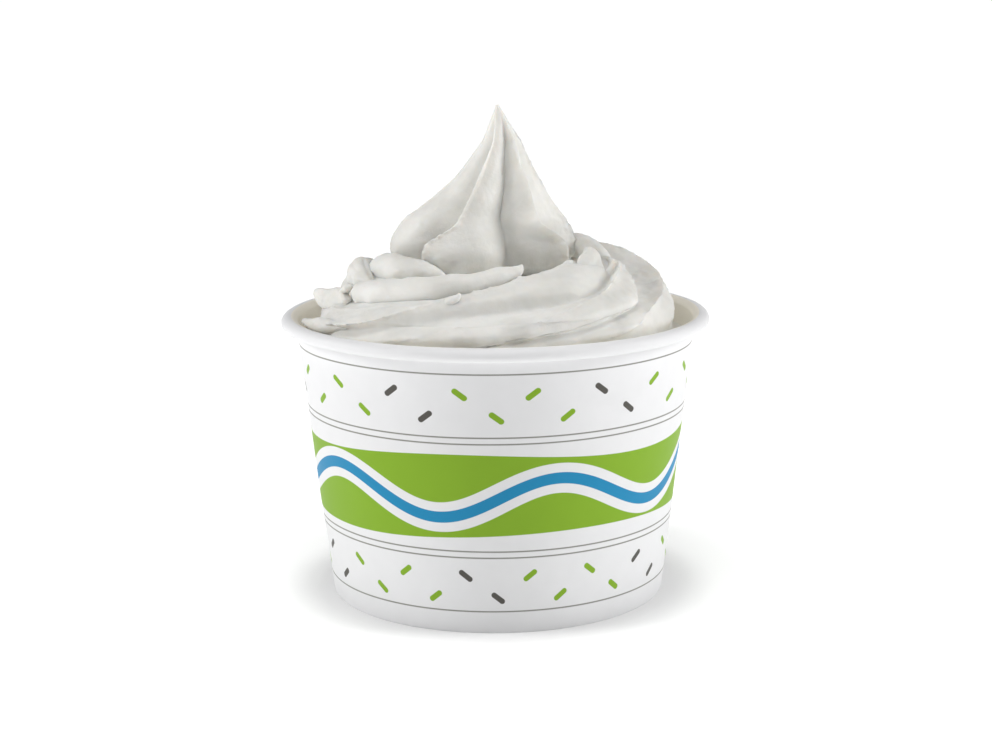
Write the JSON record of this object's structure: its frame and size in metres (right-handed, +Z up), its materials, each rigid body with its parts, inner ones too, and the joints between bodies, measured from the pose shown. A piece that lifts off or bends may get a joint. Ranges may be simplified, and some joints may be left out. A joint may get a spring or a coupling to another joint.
{
  "type": "frozen yogurt cup",
  "caption": "Paper cup with a rolled rim and a printed band, filled with a swirl of plain white frozen yogurt drawn up to a pointed peak",
  "frame": {"origin": "middle of the cup's foot, on the surface the cup stands on", "axes": "+Z up along the cup's axis, -Y towards the front, where the swirl's deep crease faces, +X to the right"},
  "size_m": [0.096, 0.096, 0.1092],
  "materials": {
    "coated_paper_board": "smooth semi-gloss coated board, printed outside with a green band, blue and white waves and small green and charcoal dashes, plain cream inside",
    "base_board": "plain coated board",
    "frozen_yogurt": null
  },
  "bodies": {
    "root": {"cup_wall": "coated_paper_board", "cup_base": "base_board", "frozen_yogurt": "frozen_yogurt"}
  },
  "joints": []
}
